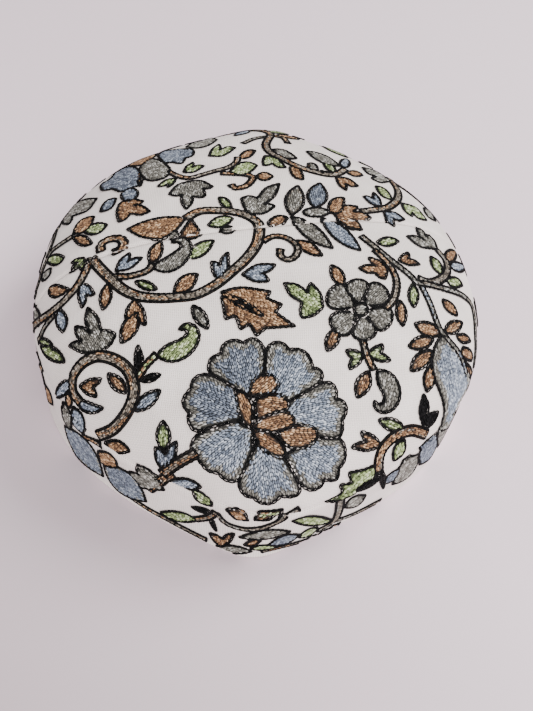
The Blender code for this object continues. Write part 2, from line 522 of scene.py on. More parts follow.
def work_fill(work, ground, outline, threads, rim, fan=None):
    """Short stitches, row beside row, on a ground of dark tiles that are painted shade in the gaps
    between the stitches.
    The first thread works the rim of the motif and the second what is inside; fan is the
    place that the rows spread from, such as a flower's heart."""
    closed = stepped(list(outline), OUTLINE_STEP, closed=True)[:-1]
    lowest, highest = closed.min(0), closed.max(0)
    inset = LOOP_WIDTH / 2 - OUTLINE_LAP

    spots = np.array([(x, y) for x in np.arange(lowest[0], highest[0] + TILE, TILE)
                      for y in np.arange(lowest[1], highest[1] + TILE, TILE)])
    gap, inside = edge_distance(spots, closed)
    for spot, depth in zip(spots[inside], gap[inside]):
        hit = ground.hit(*spot)
        if hit and depth > inset * 0.3:
            work.lay("tile", threads[0] if depth < rim else threads[1], *hit, ground.right, 0.0)

    middle = closed.mean(0)
    way = np.array((1.0, 0.0))
    if fan is not None:
        way = (middle - fan) / max(hypot(*(middle - fan)), 1e-9)
    beside = np.array((-way[1], way[0]))
    along, across = (closed - middle) @ way, (closed - middle) @ beside
    places = []
    for row in np.arange(across.min(), across.max(), FILL_ROW):
        at = along.min() + chance.uniform(0, FILL_PITCH)
        while at < along.max():
            stray = chance.uniform(-FILL_STRAY, FILL_STRAY)
            places.append(middle + way * at + beside * (row + stray))
            at += FILL_PITCH * chance.uniform(*FILL_SPACING)
    places = np.array(places)
    gap, inside = edge_distance(places, closed)
    kept = inside & (gap > inset + FILL_ROW * 0.3)
    reach = 0.0 if fan is None else np.linalg.norm(closed - fan, axis=1).max()
    for place, depth in zip(places[kept], gap[kept]):
        hit = ground.hit(*place)
        if not hit:
            continue
        lean = chance.uniform(-FILL_LEAN, FILL_LEAN)
        edge = rim
        if fan is not None:
            out = place - fan
            lean += remainder(atan2(out[1], out[0]) - atan2(way[1], way[0]), 2 * pi)
            edge = rim if hypot(*out) > reach * PETAL_END else rim * PETAL_SIDE
        stray = chance.uniform(-RIM_STRAY, RIM_STRAY)
        thread = threads[0] if depth + stray < edge else threads[1]
        turn = way * cos(lean) + beside * sin(lean)
        work.lay("grain", thread, *hit, ground.right * turn[0] + ground.up * turn[1],
                 chance.uniform(-1, 1))


def corner_runs(curve, corners):
    """The outline cut into runs between its corners, so that a stitch ends on each tip."""
    starts = sorted(corner * CURVE_STEPS for corner in corners)
    if not starts:
        return [curve + curve[:1]]
    runs = []
    for first, after in zip(starts, starts[1:] + [starts[0] + len(curve)]):
        runs.append([curve[i % len(curve)] for i in range(first, after + 1)])
    return runs


def work_shape(work, ground, points, corners, threads, rim=RIM):
    """One closed motif: its black outline and its fill."""
    work.motif += 1
    curve = curve_through(points, corners, closed=True)
    work_outline(work, ground, corner_runs(curve, corners))
    work_fill(work, ground, np.array(curve), threads, rim)


# Unit outlines of the leaves: along the leaf, across it, and whether the place is a corner
LEAF = ((0, 0, 1), (0.2, 0.33, 0), (0.48, 0.5, 0), (0.78, 0.34, 0), (1, 0, 1),
        (0.78, -0.34, 0), (0.48, -0.5, 0), (0.2, -0.33, 0))
DROP = ((0, 0, 1), (0.28, 0.26, 0), (0.62, 0.48, 0), (0.88, 0.38, 0), (1, 0, 0),
        (0.88, -0.38, 0), (0.62, -0.48, 0), (0.28, -0.26, 0))
OVAL = ((0, 0, 0), (0.14, 0.36, 0), (0.5, 0.5, 0), (0.86, 0.36, 0), (1, 0, 0),
        (0.86, -0.36, 0), (0.5, -0.5, 0), (0.14, -0.36, 0))
HALF = ((0, 0, 1), (0.28, 0.42, 0), (0.62, 0.42, 0), (1, 0, 1), (0.62, -0.16, 0), (0.28, -0.16, 0))
FORMS = {"leaf": LEAF, "drop": DROP, "oval": OVAL, "half": HALF}


def threads_of(word):
    """Outer and inner thread: 'grey+blue' is a grey ring round blue."""
    outer, _, inner = word.partition("+")
    return outer, inner or outer


def draw(work, at, word, points, corners, rim=RIM):
    """A motif whose outline is given in the table's own coordinates."""
    hits = [at(*point) for point in points]
    if None in hits:
        return
    ground = Ground(hits, hits[len(hits) // 2][0] - hits[0][0])
    outline = [ground.flat(hit[0]) for hit in hits]
    work_shape(work, ground, outline, set(corners), threads_of(word), rim)


def leaf(work, at, word, base, tip, share, form="leaf", bend=0.0):
    """A leaf from its base to its tip, share as wide as it is long, bent to one side."""
    base, tip = np.array(base, float), np.array(tip, float)
    along = tip - base
    across = np.array((-along[1], along[0]))
    points = [base + along * s + across * (t * share + bend * 4 * s * (1 - s))
              for s, t, _ in FORMS[form]]
    draw(work, at, word, points, {i for i, place in enumerate(FORMS[form]) if place[2]})


def lobes(work, at, word, base, tips, deep=0.52, bulge=0.14, sharp=True):
    """Several lobes out of one base, inside one outline: deep is how far in the notches come."""
    root = np.array(base, float)
    ends = [np.array(tip, float) - root for tip in tips]
    whole = sum(ends)
    middle = atan2(whole[1], whole[0])
    ends.sort(key=lambda end: remainder(atan2(end[1], end[0]) - middle, 2 * pi))
    size = sum(hypot(*end) for end in ends) / len(ends)
    points, corners = [root], {0}

    def swell(a, b):
        run = b - a
        return root + a + run * 0.5 + np.array((run[1], -run[0])) * bulge

    nothing = np.zeros(2)
    points.append(swell(nothing, ends[0]))
    for index, end in enumerate(ends):
        if sharp:
            corners.add(len(points))
        points.append(root + end)
        if index < len(ends) - 1:
            nick = (end + ends[index + 1]) / 2
            nick = nick / max(hypot(*nick), 1e-9) * min(size * deep, hypot(*nick))
            points.append(swell(end, nick))
            corners.add(len(points))
            points.append(root + nick)
            points.append(swell(nick, ends[index + 1]))
    points.append(swell(ends[-1], nothing))
    draw(work, at, word, points, corners)


def flower(work, at, word, heart, petals):
    """Petals round a heart: all their outlines first, then fills that fan out from the heart."""
    centre = at(*heart)
    waiting = []
    for points, corners in petals:
        hits = [at(*point) for point in points]
        ground = Ground(hits, hits[len(hits) // 2][0] - hits[0][0])
        curve = curve_through([ground.flat(hit[0]) for hit in hits], set(corners), closed=True)
        work.motif += 1
        work_outline(work, ground, corner_runs(curve, corners))
        waiting.append((work.motif, ground, np.array(curve)))
    for motif, ground, curve in waiting:
        work.motif = motif
        work_fill(work, ground, curve, threads_of(word), FLOWER_RIM, ground.flat(centre[0]))


def spine(at, path):
    """Smooth run over the cloth: points and normals."""
    curve = curve_through([np.array(point, float) for point in path], set(), closed=False)
    hits = [at(*point) for point in curve]
    hits = [hit for hit in hits if hit is not None]
    return hits if len(hits) > 1 else None


def stem(work, at, word, path, width):
    """A stem of the given width in millimetres: rows of fill between two chains, closed at both
    ends. A narrow one is a single chain."""
    hits = spine(at, path)
    if hits is None:
        return
    work.motif += 1
    outer, inner = threads_of(word)
    chain = np.array([tuple(point) + tuple(normal) for point, normal in hits])
    pieces = np.linalg.norm(np.diff(chain[:, :3], axis=0), axis=1)
    lengths = np.concatenate([[0.0], np.cumsum(pieces)])
    total = lengths[-1]
    half = width / 2000 - LOOP_WIDTH / 2 + 0.0003
    lines = [(0.0, "loop", LOOP_PITCH)]
    if width >= NARROW_STEM:
        lines = [(half, "loop", LOOP_PITCH), (-half, "loop", LOOP_PITCH)]
        rows = max(1, round((2 * half - LOOP_WIDTH + 0.0007) / FILL_ROW))
        lines += [((row - (rows - 1) / 2) * FILL_ROW, "grain", FILL_PITCH) for row in range(rows)]
        # Rows of dark tiles under the stem's fill: painted shade in the gaps between its stitches
        lines += [((row - rows / 2) * TILE * STEM_TILE, "tile", TILE * STEM_TILE)
                  for row in range(rows + 1)]
    places = []
    for offset, kind, pitch in lines:
        count = max(1, round(total / pitch))
        for step in range(count):
            run = (step + 0.5) * total / count
            if kind == "grain":
                run = min(max(run + chance.uniform(-0.5, 0.5) * pitch, 0.0), total)
            places.append((run, offset, kind))
    if width >= NARROW_STEM:
        places += [(run, offset, "end") for run in (0.0, total) for offset in (-half / 2, half / 2)]
    for run, offset, kind in places:
        spot = [np.interp(run, lengths, chain[:, k]) for k in range(6)]
        after, before = min(run + LOOK_ALONG, total), max(run - LOOK_ALONG, 0.0)
        ahead = [np.interp(after, lengths, chain[:, k]) for k in range(3)]
        behind = [np.interp(before, lengths, chain[:, k]) for k in range(3)]
        normal = Vector(spot[3:]).normalized()
        along = (Vector(ahead) - Vector(behind)).normalized()
        side = normal.cross(along)
        start = Vector(spot[:3]) + side * offset + normal * STEM_LIFT
        point, face, _, _ = GUIDE.ray_cast(start, -normal, STEM_REACH)
        if point is None:
            continue
        thread = "black"
        if kind in ("grain", "tile"):
            drift = sin(run / DRIFT_LENGTH + offset * DRIFT_SLANT)
            drift += chance.uniform(-DRIFT_STRAY, DRIFT_STRAY)
            thread = inner if drift > DRIFT_STRAY else outer
        if kind == "grain":
            along = along + side * chance.uniform(-STEM_LEAN, STEM_LEAN)
        if kind == "end":
            kind, along = "loop", side
        work.lay(kind, thread, point, outward(face, point), along,
                 0.0 if kind == "tile" else chance.uniform(-1, 1))


def paisley(work, at, word, path, width, widest=0.4, rim=RIM):
    """A paisley on a bent spine: round at its base, widest part way, drawn out to a hooked tip.
    Its width is in the table's own coordinates."""
    curve = curve_through([np.array(point, float) for point in path], set(), closed=False)
    line = stepped(curve, width / 5)
    count = len(line) - 1
    left, right = [], []
    for index in range(1, count):
        s = index / count
        swell = sin(pi / 2 * s / widest) ** 0.7 if s < widest else (
            cos(pi / 2 * (s - widest) / (1 - widest)) ** 1.15 * 0.86 + 0.14)
        way = line[index + 1] - line[index - 1]
        way /= max(hypot(*way), 1e-9)
        out = np.array((-way[1], way[0])) * swell * width / 2
        left.append(line[index] + out)
        right.append(line[index] - out)
    points = [line[0]] + left + [line[-1]] + right[::-1]
    draw(work, at, word, points, {len(left) + 1}, rim)


# The needlework as drawn: places are pixels of the photograph, widths are millimetres or shares

BIG_FLOWER_HEART = tuple(("outline", "brown", points, corners) for points, corners in (
    (((235.7, 389.5), (246, 394), (252, 403), (253, 415), (251.6, 429.7), (243, 421), (238, 410),
      (236.5, 399)), (0, 4)),
    (((250, 397), (250.5, 386), (256, 377.5), (264, 374.2), (273, 375.5), (278.5, 381.5), (277, 389),
      (270, 393.5)), (0,)),
    (((255, 400), (265, 396), (277, 394), (285.5, 397), (289.3, 404), (286, 410), (272, 413.5),
      (256.5, 420.5)), (0, 7)),
    (((253, 427.5), (260, 419.5), (272, 414), (285.5, 411.5), (293.5, 417), (294, 424), (286, 429),
      (275, 432.5), (264, 431)), (0,)),
    (((277, 433.5), (289, 427.5), (303, 424.5), (314, 427), (317.5, 435), (313, 444), (301, 448.5),
      (288, 446.5)), (0,)),
    (((252.5, 431), (266, 431.5), (278, 439), (285, 449), (284, 458), (272, 455), (260, 447.5)),
     (0, 4)),
))
BIG_FLOWER_PETALS = (
    (((235.6, 388), (210.7, 373), (209, 363), (212, 357), (221.5, 353), (222, 346), (230.6, 340),
      (240.6, 340.5), (243, 343), (250.5, 338), (259, 340.5), (264.6, 350), (265.4, 363), (264, 373),
      (249, 396)), (0, 4, 8, 14)),
    (((264, 372.5), (265, 355), (269, 345.4), (277, 341.4), (285, 344), (289, 349.4), (298, 348.6),
      (307, 353), (311.4, 361), (313, 367.7), (320, 369), (322.5, 374), (318.6, 383.6), (290, 401),
      (256, 399)), (0, 5, 9, 13, 14)),
    (((235.6, 388), (216, 376), (201, 374.5), (193, 379.5), (191, 388), (183.4, 398), (183.4, 406),
      (189, 412.7), (188, 421), (194, 431), (202, 430), (236, 420.5), (243, 420), (240, 400)),
     (0, 4, 7, 11, 12)),
    (((290, 401), (314, 387), (325, 382), (333, 383.6), (337, 391.6), (336, 399), (344, 401),
      (347, 410.7), (342.5, 420), (343, 430), (337.7, 438), (318.6, 437), (296, 424), (284, 411)),
     (0, 5, 8, 11, 13)),
    (((237, 421), (199, 434), (191, 446), (192.5, 452.5), (197.6, 459), (207, 470.6), (218.6, 473.5),
      (224.4, 480), (234, 482), (241.6, 476), (253, 450), (252, 430)), (0, 4, 6, 10, 11)),
    (((253, 451.5), (241.6, 472.5), (238.7, 486), (245.4, 496.4), (253, 497.4), (259, 503), (272, 504),
      (281, 496.4), (291, 497.4), (299, 494.5), (300, 486), (291, 468.7), (283.7, 457), (258, 440)),
     (0, 4, 7, 12, 13)),
    (((285.6, 455), (301, 484), (312.4, 490.7), (322, 486), (324, 480), (337, 480), (339, 468.7),
      (345, 461), (345, 446), (337.7, 438), (317, 438), (300, 446)), (0, 4, 6, 10)),
)

FRONT = BIG_FLOWER_HEART + (
    ("stem", "taupe+brown", ((91.3, 257.6), (98, 266), (109.5, 277.5), (123, 289), (139, 295.7),
                            (157.6, 297.4), (177.5, 296.6), (196, 294), (215.7, 284), (232, 271),
                            (245.5, 259), (255.5, 246), (258.8, 236), (258.8, 224), (249, 216),
                            (234, 211.5), (215.7, 210), (199, 211), (186, 218)), 4.2),
    ("stem", "taupe+brown", ((91, 257.6), (80, 281), (66.4, 298), (51.5, 311.5), (38, 321.5),
                            (31, 328)), 4.1),
    ("stem", "taupe+grey", ((54, 315), (45, 326), (38, 341)), 3.0),
    ("stem", "taupe+brown", ((113.7, 276), (128, 276), (146, 271), (152.7, 264)), 3.3),
    ("stem", "brown+taupe", ((101, 251), (101, 244), (109.5, 239), (119.5, 238.5), (123.6, 243.5),
                             (119.5, 249), (112, 252)), 4.1),
    ("stem", "taupe+brown", ((162, 474), (178, 463), (196, 453)), 4.1),
    ("stem", "taupe+brown", ((98, 436), (113, 429), (126, 413), (133, 396), (133, 383), (126, 368),
                            (113, 359), (98, 356), (85, 361), (76, 370), (72, 379.5), (73, 393),
                            (80, 403)), 4.3),
    ("paisley", "blue", ((76, 398), (84, 406), (94, 409), (103, 408)), 10.0, 0.5),
    ("stem", "brown+green", ((137, 378.7), (146, 364.6), (156, 354.6)), 3.2),
    ("leaf", "black", (140, 377), (137.5, 345), 0.26),
    ("leaf", "black", (141, 381), (160, 374.5), 0.34),
    ("stem", "taupe+brown", ((263, 241), (273.5, 236), (285, 237), (295, 243), (298, 250), (294, 257),
                            (286.7, 259), (280.6, 255), (280.6, 249)), 3.0),
    ("leaf", "brown", (296, 240), (322.5, 255.5), 0.34),
    ("stem", "taupe+brown", ((375, 250), (386, 260.5), (394, 272), (397, 284), (394, 298),
                             (386, 308)), 3.2),
    ("stem", "grey+taupe", ((361.6, 236), (377.6, 248.7), (393.5, 261.5), (409.4, 274), (417.4, 282),
                           (428.6, 284), (446, 288.6), (461, 294), (471, 303), (475, 318), (476, 335),
                           (476, 352), (474, 367)), 3.4),
    ("stem", "grey+blue", ((421.4, 285), (430, 302), (440, 328), (449, 340), (460, 354),
                           (467, 374)), 3.0),
    ("stem", "taupe+brown", ((363, 340.6), (367, 355), (373.6, 369)), 3.0),
    ("stem", "brown+taupe", ((427, 434.7), (412.6, 430.7), (396.7, 436), (385.5, 446), (380, 458.6),
                             (379, 472)), 4.2),
    ("lobes", "green", (84, 257.6), ((69, 272.5), (71, 262), (81, 270)), 0.5),
    ("lobes", "blue", (115.4, 271), ((129.5, 252.6), (142, 257.6)), 0.62),
    ("leaf", "brown", (150, 263.4), (161, 241), 0.5),
    ("paisley", "grey", ((152.7, 267.5), (169, 264), (181, 256), (186.7, 247.6), (183.4, 241),
                         (177.5, 239.4), (172, 242.7)), 15.5, 0.34),
    ("leaf", "green", (186.7, 258.4), (213.7, 240), 0.4),
    ("leaf", "green", (135, 281), (157, 289), 0.36),
    ("leaf", "brown", (174, 292.4), (197.5, 273.4), 0.5),
    ("lobes", "blue", (220, 281), ((211.5, 261), (228, 252)), 0.62),
    ("lobes", "blue", (242, 274), ((275.4, 264), (269, 281)), 0.66),
    ("leaf", "brown", (69, 289), (48, 292), 0.62, "drop"),
    ("lobes", "blue", (81, 282), ((94.6, 294.5), (82, 308)), 0.6),
    ("leaf", "blue", (59.8, 309), (63, 332.5), 0.5),
    ("leaf", "brown", (108, 283), (103, 310), 0.42),
    ("leaf", "brown", (138, 312), (121, 343), 0.44),
    ("lobes", "brown", (135, 299), ((125, 318), (145.5, 325)), 0.66),
    ("leaf", "grey", (192.5, 305), (208, 328.6), 0.42),
    ("lobes", "grey", (100, 351.5), ((68.8, 345.6), (75, 326.5), (87.5, 307.5), (115.4, 334)), 0.62),
    ("leaf", "green", (40, 346), (64.8, 362), 0.42),
    ("leaf", "green", (38, 338), (54, 350), 0.4),
    ("leaf", "black", (221, 292), (264, 316), 0.15),
    ("outline", "brown", ((220.7, 291.6), (241, 287), (270.5, 291), (267, 298), (282, 304),
                          (275.5, 312), (295.4, 326), (266, 328), (256.5, 335.5), (249.7, 324),
                          (240.6, 329), (235.6, 315.7), (225.6, 319)),
     (0, 2, 3, 4, 5, 6, 7, 8, 9, 10, 11, 12)),
    ("paisley", "green", ((157, 355), (169, 353), (182, 348.5), (191, 340), (193, 331.5), (187, 326),
                          (179, 329.5)), 19.0, 0.28),
    ("lobes", "brown", (79, 386), ((101.3, 379), (96.3, 397)), 0.6),
    ("leaf", "brown", (67, 393), (70, 408), 0.4),
    ("leaf", "grey", (63, 402), (70, 430), 0.3),
    ("leaf", "blue", (73, 407), (83, 434), 0.42),
    ("leaf", "brown", (126, 393), (107.6, 373.7), 0.46),
    ("leaf", "blue", (134.4, 411), (160, 390), 0.4),
    ("leaf", "blue", (69.8, 379.5), (55.7, 398.6), 0.46),
    ("leaf", "brown", (104.6, 443), (129.5, 451), 0.46),
    ("leaf", "green", (164, 451), (162.6, 421), 0.46),
    ("lobes", "blue", (164, 472), ((155, 447.5), (176.7, 441.7)), 0.6),
    ("lobes", "green", (323, 307), ((284.3, 282.4), (311.4, 282.4), (302, 317.5)), 0.66),
    ("leaf", "grey", (354, 309), (368, 309), 1.0, "oval"),
    ("leaf", "grey", (359.6, 303.5), (355.8, 279), 0.96, "drop"),
    ("leaf", "grey", (364.6, 305.4), (385.5, 287.5), 0.96, "drop"),
    ("leaf", "grey", (366, 311), (391.5, 322), 0.94, "drop"),
    ("leaf", "grey", (361.8, 314), (365.5, 340), 0.96, "drop"),
    ("leaf", "grey", (356.5, 311.8), (333.5, 330), 0.92, "drop"),
    ("leaf", "grey", (355.5, 306.5), (329, 291), 0.90, "drop"),
    ("leaf", "brown", (344, 285), (331.3, 264.7), 0.5),
    ("leaf", "brown", (337.7, 328), (327.3, 351), 0.5),
    ("leaf", "brown", (400, 300), (403, 326), 0.4),
    ("leaf", "green", (413.4, 283), (414, 307.4), 0.42),
    ("leaf", "brown", (443, 299), (458, 315.4), 0.4),
    ("paisley", "grey+blue", ((443, 335), (447, 357), (453.5, 380), (456, 398), (452, 416),
                              (441, 431)), 35.0, 0.36, 0.003),
    ("leaf", "brown", (441, 334.5), (415, 323.5), 0.5),
    ("leaf", "brown", (445, 332), (463, 322), 0.6),
    ("leaf", "brown", (434, 339), (409, 346.5), 0.5),
    ("leaf", "brown", (457, 336), (471, 341), 0.6),
    ("leaf", "brown", (432, 350), (411, 371), 0.48),
    ("leaf", "brown", (433, 364), (427, 392), 0.42),
    ("leaf", "brown", (463, 347), (472, 361), 0.6),
    ("leaf", "brown", (465, 362), (470, 378), 0.5),

    ("lobes", "green", (364, 355), ((346.5, 350), (349.7, 369)), 0.62),
    ("lobes", "green", (368, 355), ((383, 344), (391, 360.5)), 0.62),
    ("leaf", "brown", (369, 371), (357.6, 397.7), 0.5),
    ("paisley", "grey", ((378, 370), (386, 380), (391.5, 390), (391.5, 401), (385, 408),
                         (377.5, 407), (374.5, 401)), 18.5, 0.28),
    ("lobes", "black", (424.6, 430), ((424, 394), (439, 412)), 0.5, 0.13),
    ("leaf", "green", (406, 430), (379, 420), 0.42),
    ("lobes", "brown", (382, 446), ((361.6, 431.5), (352, 447.4)), 0.55),
    ("leaf", "green", (404.7, 439.4), (394, 461), 0.46),
    ("leaf", "black", (381, 477), (357, 491.5), 0.26),
    ("outline", "green", ((374.4, 465.7), (365.9, 469.3), (357, 471.4), (349, 473), (351.6, 483.6),
                          (340, 485), (342.7, 492.5), (326.7, 504), (345.4, 498.5), (357.9, 491.6),
                          (366, 483.6), (375.7, 477.3)), (0, 3, 4, 5, 6, 7)),
    ("leaf", "green", (377, 242), (399, 240.7), 0.42),
    ("lobes", "brown", (399, 260), ((408.6, 252), (420, 264)), 0.6),
    ("lobes", "brown", (387, 269), ((369, 256.7), (359, 268), (384.7, 279)), 0.62),
    # Painted shade: the upper left petals take the darkened copy of the light blue thread
    ("flower", "grey+slate", (258, 424), BIG_FLOWER_PETALS[:1] + BIG_FLOWER_PETALS[2:3]),
    ("flower", "grey+blue", (258, 424), BIG_FLOWER_PETALS[1:2] + BIG_FLOWER_PETALS[3:]),
)

BACK = (
    ("leaf", "brown", (186, 218), (127, 229), 0.34, "leaf", -0.08),
    ("outline", "brown", ((191, 218), (202, 234), (191, 239), (179, 235)), (0, 1, 3)),
    ("leaf", "grey", (183, 237), (164, 233), 0.5),
    ("leaf", "green", (231.4, 208), (219, 197), 0.5),
    ("leaf", "green", (233, 218), (208, 225), 0.42),
    ("leaf", "grey", (220, 230), (235, 229), 0.5, "oval"),
    ("lobes", "grey", (251, 213.5), ((241.3, 198), (279.6, 183), (275, 205.5)), 0.6),
    ("outline", "grey", ((139.5, 168), (149, 159.5), (160, 160), (170, 168), (168, 175), (158, 179.5),
                         (148, 180), (141, 175)), (3,)),
    # Painted shade: blue motifs of the back take the darkened copy of the light blue thread
    ("outline", "slate", ((139, 185), (139, 170), (128, 167), (117, 172), (108, 180), (101, 184),
                         (102, 190), (112, 188.5), (121, 191.5), (130, 188)), (0, 7)),
    ("outline", "slate", ((165, 163), (158, 156), (162, 151), (175, 149.5), (192, 149), (193, 155),
                         (186, 157.5), (181, 163.5), (172, 162)), (0, 6)),
    ("leaf", "grey", (217, 139.5), (186, 146.5), 0.26),
    ("leaf", "brown", (128, 165), (159, 153), 0.3, "half"),
    ("leaf", "brown", (140, 186), (139, 169), 0.34),
    ("leaf", "slate", (138, 192), (121, 197), 0.7, "oval"),
    ("leaf", "slate", (116, 198), (100, 211.5), 0.42),
    ("lobes", "brown", (119.5, 203), ((143.5, 201), (150, 211.5), (118.7, 222)), 0.6),
    ("lobes", "grey", (60, 221), ((97, 198), (68, 224)), 0.5),
    ("leaf", "brown", (72.7, 233.5), (93.8, 216), 0.42),
    ("leaf", "green", (84, 232), (107, 224.5), 0.46),
    ("leaf", "brown", (72.7, 237), (92, 243.5), 0.5),
    ("stem", "taupe+grey", ((72, 236), (60, 244), (50.7, 252), (43, 268), (38, 284), (34, 296)), 3.3),
    ("leaf", "green", (46.5, 262), (64, 257), 0.6),
    ("leaf", "grey", (42, 281), (50.5, 268), 0.4),
    ("stem", "taupe+grey", ((63, 214), (57, 228), (52, 243), (47, 256)), 2.6),
    ("stem", "taupe+brown", ((168, 171), (179, 176), (190, 177.5), (204, 174), (216, 170.5), (228, 167),
                             (236, 162), (238, 157)), 3.0),
    ("leaf", "brown", (239, 157.5), (255.5, 150), 0.42),
    ("lobes", "green", (183.4, 172), ((193, 162), (204, 165.6)), 0.6),
    ("lobes", "green", (176, 178), ((157.6, 186), (167.6, 187)), 0.6),
    ("lobes", "green", (209, 155.6), ((219, 144), (235.6, 147.3)), 0.6),
    ("lobes", "grey", (189, 181), ((169, 193.7), (186, 209), (205, 196), (213, 186.6)), 0.62),
    ("leaf", "green", (230, 171.4), (257, 164.7), 0.46),
    ("stem", "brown+taupe", ((221.5, 173), (242, 174), (252, 176), (252, 180), (245.5, 186),
                             (235.6, 188), (231.4, 184.6)), 3.3),
    ("leaf", "brown", (256, 176), (273, 176), 0.5),
    ("stem", "taupe+brown", ((270.7, 135.5), (266, 144), (270, 151.5), (282, 158), (298, 166),
                            (314, 171.4), (329.7, 174.6), (339, 173), (345, 169)), 3.9),
    ("lobes", "green", (265, 155), ((263.6, 165), (286, 167)), 0.6),
    ("leaf", "grey", (272, 149), (297, 158), 0.28),
    ("leaf", "brown", (290, 166), (303.4, 179.4), 0.5),
    ("leaf", "grey", (318, 170), (308, 163), 0.6),
    ("leaf", "grey", (340, 166), (306.6, 150.7), 0.22),
    ("stem", "taupe+brown", ((330, 173), (320, 171), (312, 168.5), (309, 165), (314, 163)), 2.6),
    ("leaf", "green", (336, 171), (323.7, 163), 0.5),
    ("leaf", "blue", (340, 163), (350, 163), 0.9, "oval"),
    ("leaf", "brown", (347, 172), (363, 174.6), 0.34),
    ("lobes", "brown", (336, 177), ((358.4, 185.7), (346, 190)), 0.6),
    ("lobes", "grey", (391, 181), ((362.4, 167), (372, 178)), 0.62),
    ("stem", "taupe+brown", ((390, 178.6), (398, 190), (397.5, 199), (389, 206.5), (377.6, 209),
                            (361.6, 211)), 3.8),
    ("leaf", "green", (392, 199), (376, 185.5), 0.36),
    ("leaf", "grey", (424, 208), (436, 221), 0.3),
    ("lobes", "blue", (381.5, 206), ((363.5, 196), (374, 192)), 0.6),
    ("lobes", "blue", (384, 211), ((405, 219), (394, 226)), 0.6),
    ("lobes", "green", (401.5, 202.5), ((427, 220), (412, 216)), 0.6),
    ("lobes", "grey", (438, 248.7), ((407, 236), (416.6, 227), (427, 234)), 0.6),
    ("stem", "taupe+grey", ((427, 234), (438, 250), (446, 260), (447.7, 271), (441, 279), (430, 282),
                           (419, 278)), 3.9),
    ("leaf", "brown", (448, 261), (454, 250), 0.9, "oval"),
    ("leaf", "blue", (451, 263), (464, 270), 0.6, "oval"),
    ("leaf", "green", (447, 279), (463, 285), 0.6),
    ("leaf", "green", (443, 274), (431, 256), 0.42),
    ("leaf", "taupe+grey", (291.5, 215), (298, 185), 0.62),
    ("leaf", "slate", (315, 208), (320, 182.5), 0.78),
    ("leaf", "brown", (329, 213), (344, 197), 0.66),
    ("lobes", "brown", (332, 211), ((371, 217), (358, 206), (362, 230)), 0.62),
    ("leaf", "grey", (303, 212), (329, 212), 0.36, "oval"),
    ("leaf", "grey", (291, 216), (333, 248.2), 0.28),
    ("leaf", "blue", (321, 217.5), (360.8, 250.3), 0.28),
    ("leaf", "brown", (335, 215), (360, 229), 0.42),
    ("leaf", "brown", (288, 217), (267.5, 223), 0.46),
)

BAND = (
    ("leaf", "grey", (30, 303), (39, 326), 0.4),
    ("leaf", "brown", (34, 365), (52, 404), 0.5, "oval"),
    ("stem", "taupe+brown", ((100, 446), (92, 441), (83, 437)), 3.0),
    ("leaf", "brown", (97, 452), (117, 468), 0.5),
    # Painted shade: some blue leaves of the band take the darkened copy of the light blue thread
    ("leaf", "grey+slate", (64, 426), (103, 477), 0.26),
    ("leaf", "grey+slate", (103, 465), (146, 502), 0.36),
    ("lobes", "grey", (164, 490.7), ((136.3, 464), (124, 474)), 0.72),
    ("stem", "brown+taupe", ((148, 490), (160, 482), (172, 474)), 4.2),
    ("leaf", "blue", (169, 482), (201, 487), 0.36),
    ("leaf", "green", (190, 490), (212, 506), 0.34),
    ("leaf", "green", (197, 521.4), (160, 513), 0.25),
    ("stem", "taupe+brown", ((195, 520), (207, 518.4), (216, 513)), 3.3),
    ("stem", "taupe+brown", ((128, 496), (148, 509.5), (168, 520.5), (188, 531), (206, 540)), 3.0),
    ("leaf", "black", (214, 514), (191, 508), 0.22),
    ("leaf", "black", (209, 517), (215.7, 532), 0.22),
    ("outline", "brown", ((226, 510), (244, 511), (248, 521), (235, 519.5)), (0, 1, 2, 3)),
    ("outline", "brown+green", ((254.5, 520), (259, 511.5), (283, 509.5), (281, 515), (269, 520.5)),
     (0, 1, 2, 3)),
    ("stem", "taupe+grey", ((216, 513), (221, 520), (230, 526), (247, 530), (264.5, 528), (280, 521),
                           (291, 514), (299, 509.5)), 3.0),
    ("leaf", "grey", (291, 532), (239, 538), 0.17),
    ("leaf", "green", (292.3, 521.3), (333, 521), 0.24),
    ("stem", "taupe+grey", ((341, 500), (339, 512), (334, 522), (318, 531)), 4.1),
    ("lobes", "brown", (222, 547), ((209, 534), (234, 534)), 0.4),
    ("leaf", "brown", (244, 546), (261, 541), 0.34),
    ("leaf", "green", (250, 549), (277, 547), 0.18),
    ("leaf", "grey", (212, 548), (252, 552), 0.2),
    ("leaf", "slate", (269, 545.5), (300, 535), 0.26),
    ("leaf", "green", (299, 538), (318, 528), 0.3),
    ("stem", "taupe+grey", ((334, 522), (348, 517), (362, 510.5), (380, 501)), 3.0),
    ("stem", "taupe+brown", ((262, 552), (281, 547.5), (300, 542), (320, 535), (340, 527)), 2.6),
    ("leaf", "green", (362, 515), (375, 506), 0.34),
    ("leaf", "grey", (345, 508), (366, 496), 0.4),
    ("leaf", "black", (382, 470), (384, 489), 0.25),
    ("leaf", "slate", (384.6, 484.5), (400, 469), 0.34),
    ("leaf", "grey", (393, 485), (420, 454), 0.34),
    ("leaf", "slate", (420, 465), (437, 434.5), 0.4),
    ("leaf", "grey", (438, 447), (453, 417), 0.4),
    ("leaf", "taupe+brown", (33, 352), (42, 384), 0.25),
    ("leaf", "brown", (40, 380), (52, 405), 0.22),
)


